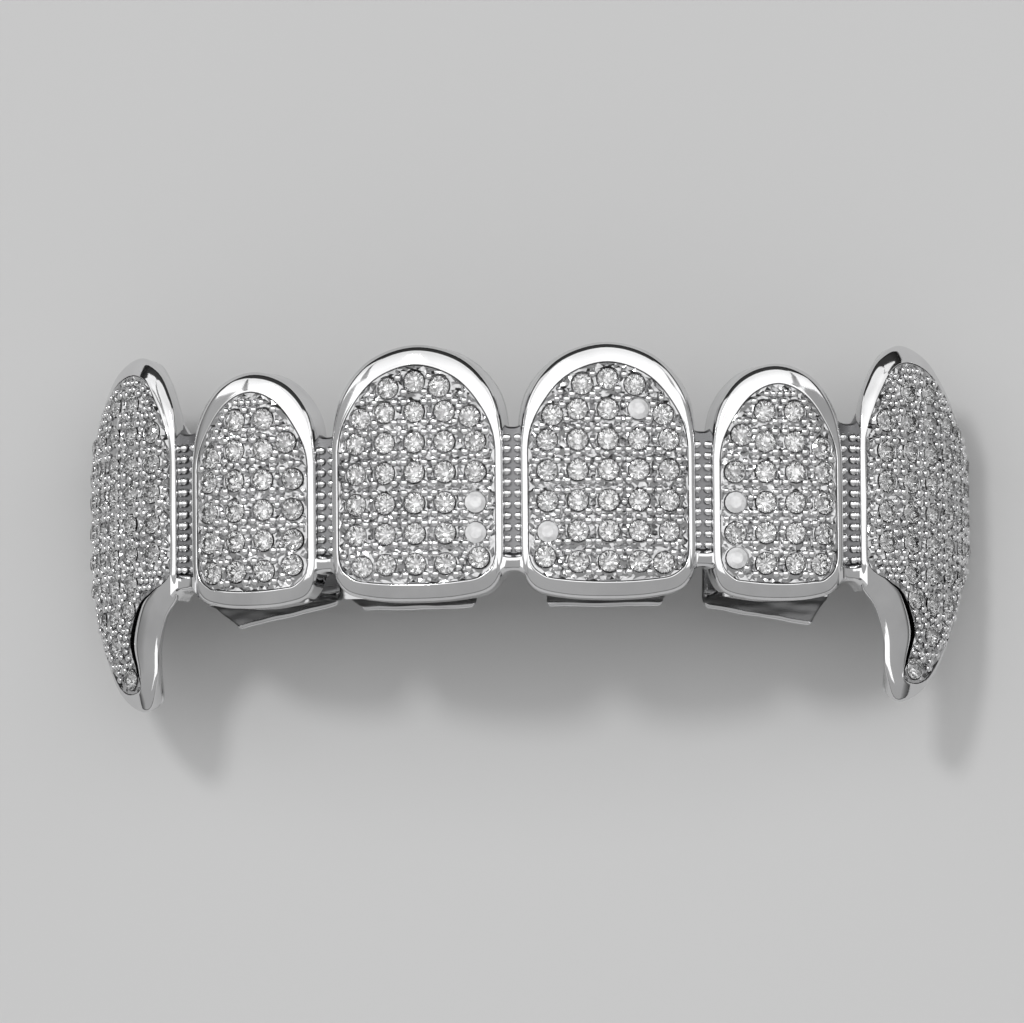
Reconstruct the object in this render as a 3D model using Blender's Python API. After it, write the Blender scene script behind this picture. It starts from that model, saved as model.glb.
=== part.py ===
"""A top front grill of six caps, the outer two of them fangs, with a plate of set stones in each cap.

It lies on its back, as it would by itself on a table. +Z is the side that shows when it is worn, +Y points to
the gum, and +X is to the right of someone who looks at it. The outer edges of the two fangs carry it.
Each cap is made flat, in its own three measures (across the cap, up it, and out of its face), and then bent
round to its place in the arch."""

import math
from collections import namedtuple

import bmesh
import bpy
from mathutils import Matrix, Vector, geometry

# The caps of one half of the arch, from the middle outwards
CENTRAL_ACROSS, CENTRAL_HEIGHT = 0.00915, 0.0133
LATERAL_ACROSS, LATERAL_HEIGHT = 0.00705, 0.0123
FANG_HEIGHT = 0.0190
FANG_WRAP = math.radians(58)  # how far round a fang's face goes
CENTRAL_BEND, LATERAL_BEND, FANG_BEND = 0.026, 0.020, 0.011  # radius of each face
CENTRAL_TURN, LATERAL_TURN = math.radians(6.5), math.radians(17)
LATERAL_FOOT, FANG_FOOT = -0.0001, -0.00545  # height of a foot against the middle caps' feet

# The casting
RIM_SIDE, RIM_CROWN, RIM_FOOT, FANG_BAND = 0.00040, 0.00108, 0.00085, 0.0021  # widths of the raised rim
RIM_DROP = 0.00035  # how far the rim's outer edge is rounded down
ROUNDED = 0.35  # the share of a rim's width that this rounding takes
ROUND_CORNER = 0.3  # how far along and down that rounding its middle point stands
RECESS = 0.00075  # how deep a plate's seat lies below the rim
SKIN = 0.00045  # metal behind that seat
WALL, WALL_DEPTH = 0.00050, 0.0019  # the wall round a cap's back, and how far back it reaches
WALL_FLARE = 0.00045  # how much wider a cap is at the back of that wall

# The bridges between caps: gap, lower end and upper end
Bridge = namedtuple("Bridge", "gap low high")
CENTRE_BRIDGE = Bridge(0.00088, 0.00155, 0.0090)
INNER_BRIDGE = Bridge(0.00085, 0.00170, 0.0087)
OUTER_BRIDGE = Bridge(0.00090, 0.00100, 0.0092)
BRIDGE_SINK = 0.00070  # how deep a bridge's front lies below the rims
BRIDGE_WEB, WEB_SINK = 0.00060, 0.00020  # the plain web at its lower end
WEB_SLOPE = 0.00030  # how far up the bar the web runs out into its recessed front
BRIDGE_BITE = 0.00035  # how far its ends run into the caps' walls

# The hooks behind the four middle caps. near_foot and far_foot are the heights of a hook's lower edge at its
# end towards the middle and at its other end, and shift is how far it stands outwards of its cap's middle.
Hook = namedtuple("Hook", "wide deep near_foot far_foot shift")
HOOKS = {
    "central_left": Hook(0.0060, 0.0068, 0.00005, 0.00005, 0.0011),
    "central_right": Hook(0.0060, 0.0068, 0.00005, 0.00005, 0.0),
    "lateral_left": Hook(0.0057, 0.0058, 0.00040, -0.00070, 0.0),
    "lateral_right": Hook(0.0057, 0.0058, 0.00000, -0.00095, 0.0),
}
HOOK_THICK = 0.0006
HOOK_LIP = 0.0028  # height of its free upper edge
HOOK_ROUND = 0.0007  # the rounding of its lower back corner
HOOK_START = 0.00025  # how high it leaves the cap

# The plates of stones
PLATE_GAP = 0.00012  # clearance all round and under a plate
PLATE_SINK = 0.00012  # how far its edge lies below the rim
DOME = 0.00035  # how much higher its middle is
STONE_ACROSS, STONE_PITCH = 0.00110, 0.00158
ROW_START = 0.00030  # the lowest row's height above the lowest that fits
STONE_HIGH, STONE_BED = 0.00022, 0.00012  # crown above the plate, and how far a stone is sunk into it
STONE_TABLE = 0.56  # table as a share of the stone's width
STONE_EDGE = 0.00005  # least metal between a stone and the plate's edge
STONE_SIDES = 8
EDGE_SPACING, EDGE_TRIES = 0.80, 8  # least spacing of stones along the edge, and places tried a stretch

LOOP_STEPS = 2  # points on each stretch of an outline

# One row a point of an outline, round from the foot. across and up are shares of the cap's size. crown and foot
# say how much of the crown's and of the foot's rim width the rim has there, flare how much of WALL_FLARE, and
# deep how much of WALL_DEPTH.
Point = namedtuple("Point", "across up crown foot flare deep", defaults=(1.0,))
HALF_TOOTH = (
    Point(0.000, 0.000, 0.00, 1.00, 0.0),
    Point(0.260, 0.010, 0.00, 1.00, 0.0),
    Point(0.440, 0.052, 0.00, 0.90, 0.3),
    Point(0.500, 0.170, 0.00, 0.05, 0.8),
    Point(0.500, 0.420, 0.00, 0.00, 1.0),
    Point(0.495, 0.640, 0.05, 0.00, 1.0),
    Point(0.440, 0.810, 0.75, 0.00, 1.0),
    Point(0.270, 0.945, 1.00, 0.00, 0.5),
    Point(0.000, 1.000, 1.00, 0.00, 0.1),
)
FANG_OUTLINE = (
    Point(-0.280, 0.003, 0.00, 0.56, -1.9, 0.8),
    Point(-0.087, 0.060, 0.00, 0.00, 0.0, 0.8),
    Point(0.119, 0.187, 0.00, 0.00, 0.0, 0.9),
    Point(0.250, 0.298, 0.00, 0.00, 0.0),
    Point(0.405, 0.375, 0.00, 0.00, 0.0),
    Point(0.500, 0.440, 0.00, 0.00, 0.0),
    Point(0.500, 0.560, 0.00, 0.00, 0.0),
    Point(0.500, 0.680, 0.00, 0.00, 0.0),
    Point(0.390, 0.755, 0.00, 0.00, 0.0),
    Point(0.235, 0.820, 0.00, 0.00, 0.0),
    Point(0.085, 0.895, 0.10, 0.00, 0.0),
    Point(-0.045, 0.962, 0.55, 0.00, 0.0),
    Point(-0.213, 1.000, 1.00, 0.00, -0.8),
    Point(-0.370, 0.965, 1.00, 0.00, -2.0),
    Point(-0.460, 0.893, 1.00, 0.00, -2.3),
    Point(-0.497, 0.820, 0.70, 0.00, -2.0),
    Point(-0.500, 0.729, 0.00, 0.00, -1.2),
    Point(-0.500, 0.560, 0.00, 0.00, -0.6),
    Point(-0.500, 0.392, 0.00, 0.00, -1.0),
    Point(-0.496, 0.318, 0.00, 0.75, -2.2, 0.9),
    Point(-0.440, 0.260, 0.00, 0.97, -3.8, 0.8),
    Point(-0.397, 0.187, 0.00, 1.00, -4.0, 0.8),
    Point(-0.383, 0.097, 0.00, 0.72, -3.7, 0.8),
)

Cap = namedtuple("Cap", "name across height foot turn bend outline foot_rim x z")


def mirrored(half):
    """The whole outline of a cap that is the same on both sides, anticlockwise from the foot's middle."""
    other = [point._replace(across=-point.across) for point in reversed(half[1:-1])]
    return tuple(half) + tuple(other)


def arch():
    """The caps of the right half by name, each with the middle of its chord in the plan of the arch."""
    fang_across = FANG_BEND * FANG_WRAP
    fang_turn = math.pi / 2 - FANG_WRAP / 2  # so that the fang's outer edge faces straight out
    tooth = mirrored(HALF_TOOTH)
    row = (
        (Cap("central", CENTRAL_ACROSS, CENTRAL_HEIGHT, 0, CENTRAL_TURN, CENTRAL_BEND, tooth, RIM_FOOT, 0, 0),
         INNER_BRIDGE),
        (Cap("lateral", LATERAL_ACROSS, LATERAL_HEIGHT, LATERAL_FOOT, LATERAL_TURN, LATERAL_BEND, tooth,
             RIM_FOOT, 0, 0), OUTER_BRIDGE),
        (Cap("fang", fang_across, FANG_HEIGHT, FANG_FOOT, fang_turn, FANG_BEND, FANG_OUTLINE, FANG_BAND,
             0, 0), None),
    )
    caps = {}
    x, z = CENTRE_BRIDGE.gap / 2, 0.0
    for cap, bridge in row:
        half = cap.bend * math.sin(cap.across / 2 / cap.bend)
        step_x, step_z = half * math.cos(cap.turn), half * math.sin(cap.turn)
        caps[cap.name] = cap._replace(x=x + step_x, z=z - step_z)
        x += 2 * step_x
        z -= 2 * step_z
        if bridge:
            next_turn = fang_turn - FANG_WRAP / 2 if cap.name == "lateral" else LATERAL_TURN
            lean = (cap.turn + next_turn) / 2
            x += bridge.gap * math.cos(lean)
            z -= bridge.gap * math.sin(lean)
    return caps


def bent(cap, side, point):
    """Where a point of the flat cap (across, up, out) comes in the grill."""
    angle = point[0] / cap.bend
    reach = cap.bend + point[2]
    along = reach * math.sin(angle)
    out = reach * math.cos(angle) - cap.bend * math.cos(cap.across / 2 / cap.bend)
    return turned(cap, side, along, cap.foot + point[1], out)


def straight(cap, side, point):
    """The same for what stands behind a cap, which isn't bent with its face."""
    bulge = cap.bend * (1 - math.cos(cap.across / 2 / cap.bend))
    return turned(cap, side, point[0], cap.foot + point[1], bulge + point[2])


def turned(cap, side, along, up, out):
    x = cap.x + along * math.cos(cap.turn) + out * math.sin(cap.turn)
    z = cap.z - along * math.sin(cap.turn) + out * math.cos(cap.turn)
    return Vector((side * x, up, z))


def rim_width(cap, point):
    return RIM_SIDE + point.crown * (RIM_CROWN - RIM_SIDE) + point.foot * (cap.foot_rim - RIM_SIDE)


def outline(cap, share=0.0, inset=0.0, depth=0.0, deep=0.0):
    """The cap's outline as a smooth closed loop of (across, up, out). It is moved inwards by a share of its rim
    and by a fixed inset, and outwards by the flare of its wall there. It lies depth below the rim, and deep is
    how much of the way from there to the wall's back edge it goes. Its straight sides stay straight."""
    rows = cap.outline
    places = [Vector((p.across * cap.across, p.up * cap.height, 0)) for p in rows]
    moved = []
    for i, row in enumerate(rows):
        ahead = places[(i + 1) % len(rows)] - places[i - 1]
        inwards = Vector((-ahead.y, ahead.x, 0)).normalized()
        down = depth + deep * (WALL_DEPTH * row.deep - depth)
        flared = row.flare * WALL_FLARE * down / WALL_DEPTH * (1 - share)
        place = places[i] + inwards * (share * rim_width(cap, row) + inset - flared)
        moved.append(Vector((place.x, place.y, -down)))
    left, right = min(p.x for p in moved), max(p.x for p in moved)
    loop = []
    for i in range(len(moved)):
        before, start, end, after = (moved[(i + k) % len(moved)] for k in (-1, 0, 1, 2))
        for step in range(LOOP_STEPS):
            t = step / LOOP_STEPS
            place = 0.5 * (2 * start + (end - before) * t + (2 * before - 5 * start + 4 * end - after) * t**2
                           + (3 * start - before - 3 * end + after) * t**3)
            place.x = min(max(place.x, left), right)
            loop.append(place)
    return loop


def loft(rings):
    """A closed body through rings of as many points each, filled at both ends."""
    bm = bmesh.new()
    made = [[bm.verts.new(point) for point in ring] for ring in rings]
    for low, high in zip(made, made[1:]):
        for i in range(len(low)):
            j = (i + 1) % len(low)
            bm.faces.new((low[i], low[j], high[j], high[i]))
    bm.faces.new(list(reversed(made[0])))
    bm.faces.new(made[-1])
    bmesh.ops.recalc_face_normals(bm, faces=bm.faces)
    return bm


def cut_across(bm, places, direction, faces=None):
    """Cuts the faces along straight lines, so that they can bend there."""
    for place in places:
        chosen = [f for f in bm.faces if faces is None or faces(f)]
        edges = {e for f in chosen for e in f.edges}
        verts = {v for f in chosen for v in f.verts}
        bmesh.ops.bisect_plane(bm, geom=chosen + list(edges) + list(verts), dist=1e-8,
                               plane_co=direction * place, plane_no=direction)


def strip_lines(cap):
    """The lines between the columns of stones, where a cap's faces bend."""
    count = columns_of(cap)
    return [(i - count / 2) * STONE_PITCH for i in range(count + 1)
            if abs(i - count / 2) * STONE_PITCH < cap.across / 2 - RIM_SIDE]


def columns_of(cap):
    """How many columns of stones fit between a cap's side rims."""
    room = cap.across - 2 * (RIM_SIDE + PLATE_GAP + STONE_EDGE) - STONE_ACROSS
    return 1 + int(room / STONE_PITCH)


def place_mesh(bm, name, put, side, collection, materials):
    """Moves a flat body to its place and makes it an object. The left side is the right one mirrored."""
    for vert in bm.verts:
        vert.co = put(vert.co)
    if side < 0:
        bmesh.ops.reverse_faces(bm, faces=bm.faces)
    return object_of(bm, name, collection, materials)


def object_of(bm, name, collection, materials):
    mesh = bpy.data.meshes.new(name)
    bm.to_mesh(mesh)
    bm.free()
    for material in materials:
        mesh.materials.append(material)
    made = bpy.data.objects.new(name, mesh)
    collection.objects.link(made)
    return made


def shell(cap):
    """The cast cap without its plate: rim, seat, skin and the wall round its back, as one flat body."""
    rings = [
        outline(cap, 0, WALL, RECESS + SKIN),
        outline(cap, 0, WALL, deep=1),
        outline(cap, deep=1),
        outline(cap, depth=RIM_DROP),
        outline(cap, ROUNDED * ROUND_CORNER, 0, RIM_DROP * ROUND_CORNER),
        outline(cap, ROUNDED),
        outline(cap, 1),
        outline(cap, 1, depth=RECESS),
    ]
    bm = loft(rings)
    cut_across(bm, strip_lines(cap), Vector((1, 0, 0)))
    return bm


def hook(size):
    """The hook that goes under a tooth and up its back, as a flat profile drawn out to its width."""
    back = -size.deep
    front = -RECESS - SKIN / 2

    def profile(foot):
        return (
            (front, HOOK_START),
            (back + HOOK_ROUND, foot),
            (back + HOOK_ROUND * ROUND_CORNER, foot + HOOK_ROUND * ROUND_CORNER),
            (back, foot + HOOK_ROUND),
            (back, HOOK_LIP),
            (back + HOOK_THICK, HOOK_LIP),
            (back + HOOK_THICK, foot + HOOK_THICK),
            (front, HOOK_START + HOOK_THICK),
        )

    ends = ((size.shift - size.wide / 2, size.near_foot), (size.shift + size.wide / 2, size.far_foot))
    return loft([[(x, up, out) for out, up in profile(foot)] for x, foot in ends])


def bridge_between(near, far, bridge):
    """The bar between two caps. Each end is a section through the bar, run into that cap's wall.
    near and far are (cap, side, edge), with edge -1 for the cap's edge towards the middle."""
    sections = []
    for cap, side, edge in (near, far):
        middle = [p.flare for p in cap.outline if p.across * edge == 0.5]
        flare = WALL_FLARE * sum(middle) / len(middle)
        section = (
            (bridge.low, -WEB_SINK),
            (bridge.low + BRIDGE_WEB, -WEB_SINK),
            (bridge.low + BRIDGE_WEB + WEB_SLOPE, -BRIDGE_SINK),
            (bridge.high, -BRIDGE_SINK),
            (bridge.high, -WALL_DEPTH),
            (bridge.low, -WALL_DEPTH),
        )
        sections.append([
            bent(cap, side, (edge * (cap.across / 2 - BRIDGE_BITE - flare * out / WALL_DEPTH), up - cap.foot, out))
            for up, out in section])
    return loft(sections)


def rows_of(cap):
    """Heights of the rows of stones in a cap."""
    room = [p.y for p in outline(cap, 1, PLATE_GAP + STONE_ACROSS / 2 + STONE_EDGE)]
    count = int((max(room) - min(room) - ROW_START) / STONE_PITCH) + 1
    return [min(room) + ROW_START + STONE_PITCH * r for r in range(count)]


def stone_places(cap):
    """Centres of the stones: a square grid, then stones along the plate's edge where there is still room."""
    reach = STONE_ACROSS / 2 + STONE_EDGE
    edge = outline(cap, 1, PLATE_GAP)
    columns = columns_of(cap)
    grid = [Vector(((c - (columns - 1) / 2) * STONE_PITCH, up, 0)) for up in rows_of(cap) for c in range(columns)]
    found = [place for place in grid if fits(place, edge, reach)]
    room = outline(cap, 1, PLATE_GAP + reach + STONE_EDGE)
    for i in range(len(room) * EDGE_TRIES):
        at = room[i // EDGE_TRIES].lerp(room[(i // EDGE_TRIES + 1) % len(room)], i % EDGE_TRIES / EDGE_TRIES)
        if all((at - other).length > STONE_PITCH * EDGE_SPACING for other in found) and fits(at, edge, reach):
            found.append(at)
    return found


def fits(place, loop, reach):
    """Whether a stone reaching that far round a place stays within a loop."""
    for a, b in zip(loop, loop[1:] + loop[:1]):
        near, share = geometry.intersect_point_line(place, a, b)
        near = a.lerp(b, min(max(share, 0), 1))
        if (near - place).length < reach:
            return False
    return inside(place, loop)


def inside(place, loop):
    """Whether a place lies within a closed loop, by counting the loop's crossings to its right."""
    crossings = 0
    for a, b in zip(loop, loop[1:] + loop[:1]):
        if (a.y > place.y) != (b.y > place.y):
            crossings += place.x < a.x + (place.y - a.y) / (b.y - a.y) * (b.x - a.x)
    return crossings % 2 == 1


def plate(cap, name, metal, gems, collection, spare):
    """The plate that sits in a cap's seat, with its stones fused to it. Still flat: dome and bend come after."""
    bm = loft([outline(cap, 1, PLATE_GAP, RECESS - PLATE_GAP), outline(cap, 1, PLATE_GAP, PLATE_SINK)])
    cut_across(bm, strip_lines(cap), Vector((1, 0, 0)))
    lines = [up + STONE_PITCH / 2 for up in rows_of(cap)]
    cut_across(bm, lines, Vector((0, 1, 0)), lambda face: face.normal.z > 0.5)
    made = object_of(bm, name, spare, [metal, gems])
    stones = bmesh.new()
    tall = STONE_HIGH + STONE_BED
    for place in stone_places(cap):
        at = Matrix.Translation((place.x, place.y, -PLATE_SINK - STONE_BED + tall / 2))
        bmesh.ops.create_cone(stones, cap_ends=True, segments=STONE_SIDES, radius1=STONE_ACROSS / 2,
                              radius2=STONE_ACROSS / 2 * STONE_TABLE, depth=tall, matrix=at)
    for face in stones.faces:
        face.material_index = 1
    cutter = object_of(stones, name + "_stones", spare, [metal, gems])
    fuse = made.modifiers.new("stones", "BOOLEAN")
    fuse.operation = "UNION"
    fuse.object = cutter
    fused = bpy.data.meshes.new_from_object(made.evaluated_get(bpy.context.evaluated_depsgraph_get()))
    bpy.data.objects.remove(made)
    bpy.data.objects.remove(cutter)
    result = bmesh.new()
    result.from_mesh(fused)
    bpy.data.meshes.remove(fused)
    return result


def domed(cap, point):
    """Raises the middle of a plate's top, and leaves its edge and its underside."""
    if point.z < -PLATE_SINK - 1e-6:
        return point
    across = 2 * point.x / cap.across
    up = 2 * point.y / cap.height - 1
    rise = max(0.0, 1 - across**2) * max(0.0, 1 - up**2)
    return point + Vector((0, 0, DOME * rise))


def polished(name, colour, roughness, metallic):
    material = bpy.data.materials.new(name)
    material.use_nodes = True
    shader = material.node_tree.nodes["Principled BSDF"]
    shader.inputs["Base Color"].default_value = (*colour, 1)
    shader.inputs["Roughness"].default_value = roughness
    shader.inputs["Metallic"].default_value = metallic
    return material


def main():
    for old in list(bpy.data.objects):
        bpy.data.objects.remove(old)
    grill = bpy.data.collections.new("grill")
    spare = bpy.data.collections.new("cast pieces")
    for collection in (grill, spare):
        bpy.context.scene.collection.children.link(collection)
    metal = polished("polished_metal", (0.80, 0.81, 0.82), 0.08, 1.0)
    gems = polished("clear_stones", (0.93, 0.94, 0.96), 0.03, 0.0)

    caps = arch()
    cast = []
    for side, word in ((-1, "left"), (1, "right")):
        for cap in caps.values():
            cast.append(place_mesh(shell(cap), f"shell_{cap.name}_{word}", lambda p: bent(cap, side, p),
                                   side, spare, [metal]))
            hooked = HOOKS.get(f"{cap.name}_{word}")
            if hooked:
                cast.append(place_mesh(hook(hooked), f"hook_{cap.name}_{word}",
                                       lambda p: straight(cap, side, p), side, spare, [metal]))
            name = f"pave_{cap.name}_{word}"
            body = plate(cap, name, metal, gems, grill, spare)
            place_mesh(body, name, lambda p: bent(cap, side, domed(cap, p)), side, grill, [metal, gems])
        for near, far, bridge in (("central", "lateral", INNER_BRIDGE), ("lateral", "fang", OUTER_BRIDGE)):
            bar = bridge_between((caps[near], side, 1), (caps[far], side, -1), bridge)
            cast.append(object_of(bar, f"bridge_{near}_{word}", spare, [metal]))
    bar = bridge_between((caps["central"], -1, -1), (caps["central"], 1, -1), CENTRE_BRIDGE)
    cast.append(object_of(bar, "bridge_centre", spare, [metal]))

    frame = bpy.data.objects.new("cast_frame", cast[0].data)
    grill.objects.link(frame)
    bpy.data.objects.remove(cast[0])
    for piece in cast[1:]:
        fuse = frame.modifiers.new(piece.name, "BOOLEAN")
        fuse.operation = "UNION"
        fuse.object = piece
        piece.hide_render = True
        piece.display_type = "WIRE"
    lay_down(grill, spare)


def lay_down(grill, spare):
    """Moves everything so that the grill's lowest points are at z = 0, under the middle of its box."""
    graph = bpy.context.evaluated_depsgraph_get()
    points = [v.co for made in grill.objects for v in made.evaluated_get(graph).data.vertices]
    low = [min(p[i] for p in points) for i in range(3)]
    high = [max(p[i] for p in points) for i in range(3)]
    shift = Matrix.Translation((-(low[0] + high[0]) / 2, -(low[1] + high[1]) / 2, -low[2]))
    for mesh in {made.data for made in (*grill.objects, *spare.objects)}:
        mesh.transform(shift)


main()
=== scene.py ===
"""A fanged top grill, dressed: polished caps, hooks, bridges, plates of set stones, floor and light."""

import math
import random
from collections import namedtuple

import bmesh
import bpy
from mathutils import Matrix, Vector, geometry, noise


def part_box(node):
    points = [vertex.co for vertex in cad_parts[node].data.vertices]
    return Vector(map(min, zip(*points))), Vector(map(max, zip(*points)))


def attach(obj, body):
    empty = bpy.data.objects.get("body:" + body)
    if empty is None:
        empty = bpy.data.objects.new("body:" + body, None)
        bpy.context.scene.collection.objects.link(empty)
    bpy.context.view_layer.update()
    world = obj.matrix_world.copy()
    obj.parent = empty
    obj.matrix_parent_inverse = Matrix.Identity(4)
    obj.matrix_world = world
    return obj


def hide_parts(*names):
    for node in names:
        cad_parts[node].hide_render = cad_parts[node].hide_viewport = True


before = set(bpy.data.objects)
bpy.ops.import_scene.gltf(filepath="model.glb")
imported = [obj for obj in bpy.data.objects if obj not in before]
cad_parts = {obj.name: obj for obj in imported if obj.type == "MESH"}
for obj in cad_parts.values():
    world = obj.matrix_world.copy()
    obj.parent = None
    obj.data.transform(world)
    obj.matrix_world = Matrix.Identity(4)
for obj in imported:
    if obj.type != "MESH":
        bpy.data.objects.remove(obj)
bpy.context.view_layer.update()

# The caps
# Six open-backed caps, cast in white metal and polished to a mirror. Each has a raised rim round the seat of
# its plate and a wall round its back. They are modelled flat (across, up, out), then bent round the arch.
CENTRAL_ACROSS, CENTRAL_HEIGHT = 0.00915, 0.0133
LATERAL_ACROSS, LATERAL_HEIGHT = 0.00705, 0.0123
FANG_HEIGHT = 0.0190
FANG_WRAP = math.radians(58)
CENTRAL_BEND, LATERAL_BEND, FANG_BEND = 0.026, 0.020, 0.011
CENTRAL_TURN, LATERAL_TURN = math.radians(6.5), math.radians(17)
LATERAL_FOOT, FANG_FOOT = -0.0001, -0.00545
CENTRE_GAP, INNER_GAP, OUTER_GAP = 0.00088, 0.00085, 0.00090
RIM_SIDE, RIM_CROWN, RIM_FOOT, FANG_BAND = 0.00040, 0.00108, 0.00085, 0.0021
RIM_DROP, ROUNDED = 0.00035, 0.35
ROUND_MOST = 0.00038  # the rounding of a wide band is no wider than this
RIM_CROWNING = 0.00001  # how much the rim's face bulges
RIM_LEAN, FANG_LEAN = 0.17, 0.20  # how steeply it falls outwards, and how much more at a fang's crown
RIM_ARRIS = 0.00005  # the small round at its inner edge
RECESS, SKIN = 0.00075, 0.00045
WALL, WALL_DEPTH, WALL_FLARE = 0.00050, 0.0019, 0.00045
LOOP_STEPS = 8
ROUND_STEPS = 6
POCKET_BELT, WALL_BELTS = 0.7, (0.6, 0.3)  # loops on the wall's inner and outer side, in shares of its depth
FLOOR_STRIP = 0.0005  # width of the strips in which a cap's skin bends
LEVEL = 0.99  # a face whose normal rises by this much is a floor
SHARP = math.radians(38)
HAIRS, HAIR_STRETCH, CLOUDS, RIPPLES = 2200, (1, 6, 1), 260, 420  # scales of the buff's marks
TARNISH, TARNISH_FROM, TARNISH_TO = 0.86, 0.35, 0.6  # the dullest spots, and where they begin and end
RELIEF, HAIR_RELIEF = 0.00005, 0.1
MIRROR = (0.79, 0.79, 0.795)
# The colour of the seats' walls and floors and of the bridges' recessed faces: painted shade in the recesses.
RECESS_SHADE_COLOUR = (0.20, 0.20, 0.205)
FANG_SLIT = 0.00020  # how much wider the gap beside a fang's band opens

Point = namedtuple("Point", "across up crown foot flare deep slit", defaults=(1.0, 0.0))
HALF_TOOTH = (
    Point(0.000, 0.000, 0.00, 1.00, 0.0),
    Point(0.260, 0.010, 0.00, 1.00, 0.0),
    Point(0.440, 0.052, 0.00, 0.90, 0.3),
    Point(0.500, 0.170, 0.00, 0.05, 0.8),
    Point(0.500, 0.420, 0.00, 0.00, 1.0),
    Point(0.495, 0.640, 0.05, 0.00, 1.0),
    Point(0.440, 0.810, 0.75, 0.00, 1.0),
    Point(0.270, 0.945, 1.00, 0.00, 0.5),
    Point(0.000, 1.000, 1.00, 0.00, 0.1),
)
TOOTH = HALF_TOOTH + tuple(point._replace(across=-point.across) for point in reversed(HALF_TOOTH[1:-1]))
FANG = (
    Point(-0.280, 0.003, 0.00, 0.56, -1.9, 0.8),
    Point(-0.087, 0.060, 0.00, 0.00, 0.0, 0.8),
    Point(0.119, 0.187, 0.00, 0.00, 0.0, 0.9),
    Point(0.250, 0.298, 0.00, 0.00, 0.0),
    Point(0.405, 0.375, 0.00, 0.00, 0.0),
    Point(0.500, 0.440, 0.00, 0.00, 0.0),
    Point(0.500, 0.560, 0.00, 0.00, 0.0),
    Point(0.500, 0.680, 0.00, 0.00, 0.0),
    Point(0.390, 0.755, 0.00, 0.00, 0.0),
    Point(0.235, 0.820, 0.00, 0.00, 0.0),
    Point(0.085, 0.895, 0.10, 0.00, 0.0),
    Point(-0.045, 0.962, 0.55, 0.00, 0.0),
    Point(-0.213, 1.000, 1.00, 0.00, -0.8),
    Point(-0.370, 0.965, 1.00, 0.00, -2.0),
    Point(-0.460, 0.893, 1.00, 0.00, -2.3),
    Point(-0.497, 0.820, 0.70, 0.00, -2.0),
    Point(-0.500, 0.729, 0.00, 0.00, -1.2),
    Point(-0.500, 0.560, 0.00, 0.00, -0.6),
    Point(-0.500, 0.392, 0.00, 0.00, -1.0),
    Point(-0.496, 0.318, 0.00, 0.75, -2.2, 0.9),
    Point(-0.440, 0.260, 0.00, 0.97, -3.8, 0.8, 0.4),
    Point(-0.397, 0.187, 0.00, 1.00, -4.0, 0.8, 1.0),
    Point(-0.383, 0.097, 0.00, 0.72, -3.7, 0.8, 0.8),
)
Cap = namedtuple("Cap", "name across height foot turn bend outline foot_rim gap x z")


def arch():
    """The caps of the right half, each with the middle of its chord in the plan of the arch."""
    fang_turn = math.pi / 2 - FANG_WRAP / 2
    row = (
        Cap("central", CENTRAL_ACROSS, CENTRAL_HEIGHT, 0, CENTRAL_TURN, CENTRAL_BEND, TOOTH, RIM_FOOT,
            INNER_GAP, 0, 0),
        Cap("lateral", LATERAL_ACROSS, LATERAL_HEIGHT, LATERAL_FOOT, LATERAL_TURN, LATERAL_BEND, TOOTH,
            RIM_FOOT, OUTER_GAP, 0, 0),
        Cap("fang", FANG_BEND * FANG_WRAP, FANG_HEIGHT, FANG_FOOT, fang_turn, FANG_BEND, FANG, FANG_BAND,
            0, 0, 0),
    )
    next_turns = (LATERAL_TURN, fang_turn - FANG_WRAP / 2, 0)
    caps = []
    x, z = CENTRE_GAP / 2, 0.0
    for cap, next_turn in zip(row, next_turns):
        half = cap.bend * math.sin(cap.across / 2 / cap.bend)
        step_x, step_z = half * math.cos(cap.turn), half * math.sin(cap.turn)
        caps.append(cap._replace(x=x + step_x, z=z - step_z))
        lean = (cap.turn + next_turn) / 2
        x += 2 * step_x + cap.gap * math.cos(lean)
        z -= 2 * step_z + cap.gap * math.sin(lean)
    return caps


def turned(cap, side, along, up, out):
    x = cap.x + along * math.cos(cap.turn) + out * math.sin(cap.turn)
    z = cap.z - along * math.sin(cap.turn) + out * math.cos(cap.turn)
    return Vector((side * x, up, z)) + seat


def bent(cap, side, point):
    """Where a point of the flat cap comes in the grill."""
    angle = point[0] / cap.bend
    reach = cap.bend + point[2]
    out = reach * math.cos(angle) - cap.bend * math.cos(cap.across / 2 / cap.bend)
    return turned(cap, side, reach * math.sin(angle), cap.foot + point[1], out)


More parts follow.
